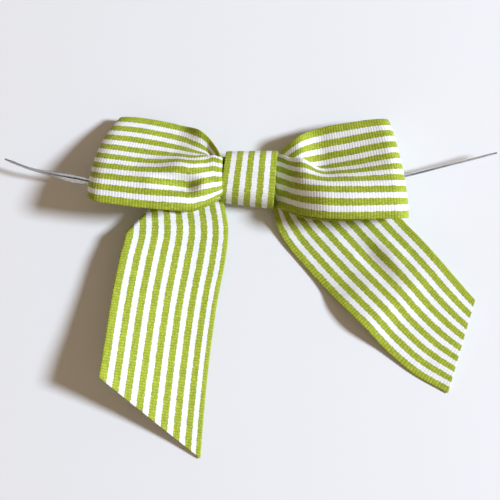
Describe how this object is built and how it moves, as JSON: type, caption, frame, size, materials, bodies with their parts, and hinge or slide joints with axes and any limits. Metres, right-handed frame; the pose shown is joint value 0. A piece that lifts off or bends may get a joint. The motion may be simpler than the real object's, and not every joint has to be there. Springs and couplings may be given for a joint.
{
  "type": "gift bow",
  "caption": "Striped ribbon bow with loops, cut tails and a centre band, and a twist tie behind it for fastening it to a gift bag or box.",
  "frame": {"origin": "on the resting plane under the middle of the centre band's back", "axes": "+X towards the right loop, +Y towards the top of the bow, +Z out of its front"},
  "size_m": [0.0992, 0.0685, 0.0106],
  "materials": {
    "loop_ribbon": "ribbed grosgrain with lengthwise white stripes",
    "tail_ribbon": "ribbed grosgrain with lengthwise white stripes",
    "band_ribbon": "ribbed grosgrain with lengthwise white stripes",
    "thread": "matt sewing thread",
    "hot_melt": "cloudy hot-melt glue",
    "tie_wire": "dull annealed steel",
    "tie_film": "clear glossy film"
  },
  "bodies": {
    "root": {"center_band": "band_ribbon", "loop_waist": "loop_ribbon", "tail_waist": "tail_ribbon", "gather_thread": "thread", "glue_dot": "hot_melt", "middle_tie_wire": "tie_wire", "middle_tie_film": "tie_film"},
    "left_loop": {"left_loop": "loop_ribbon"},
    "right_loop": {"right_loop": "loop_ribbon"},
    "left_tail": {"left_tail": "tail_ribbon"},
    "right_tail": {"right_tail": "tail_ribbon"},
    "left_tie_leg": {"left_tie_wire": "tie_wire", "left_tie_film": "tie_film"},
    "right_tie_leg": {"right_tie_wire": "tie_wire", "right_tie_film": "tie_film"}
  },
  "joints": [
    {"name": "left_loop_lift", "type": "hinge", "parent": "root", "child": "left_loop", "pos_m": [-0.0056, 0, 0.0086], "axis": [0, 1, 0], "range_deg": [0, 35], "stiffness_Nm_per_rad": 0.0006},
    {"name": "right_loop_lift", "type": "hinge", "parent": "root", "child": "right_loop", "pos_m": [0.0056, 0, 0.0086], "axis": [0, -1, 0], "range_deg": [0, 35], "stiffness_Nm_per_rad": 0.0006},
    {"name": "left_tail_fold", "type": "hinge", "parent": "root", "child": "left_tail", "pos_m": [-0.01, -0.0034, 0.0029], "axis": [1, 0, 0], "range_deg": [0, 60]},
    {"name": "right_tail_fold", "type": "hinge", "parent": "root", "child": "right_tail", "pos_m": [0.012, -0.0034, 0.0029], "axis": [1, 0, 0], "range_deg": [0, 60]},
    {"name": "left_tie_bend", "type": "hinge", "parent": "root", "child": "left_tie_leg", "pos_m": [-0.006, 0, 0.00135], "axis": [0, -1, 0], "range_deg": [0, 95]},
    {"name": "right_tie_bend", "type": "hinge", "parent": "root", "child": "right_tie_leg", "pos_m": [0.006, 0, 0.00135], "axis": [0, 1, 0], "range_deg": [0, 95]}
  ]
}
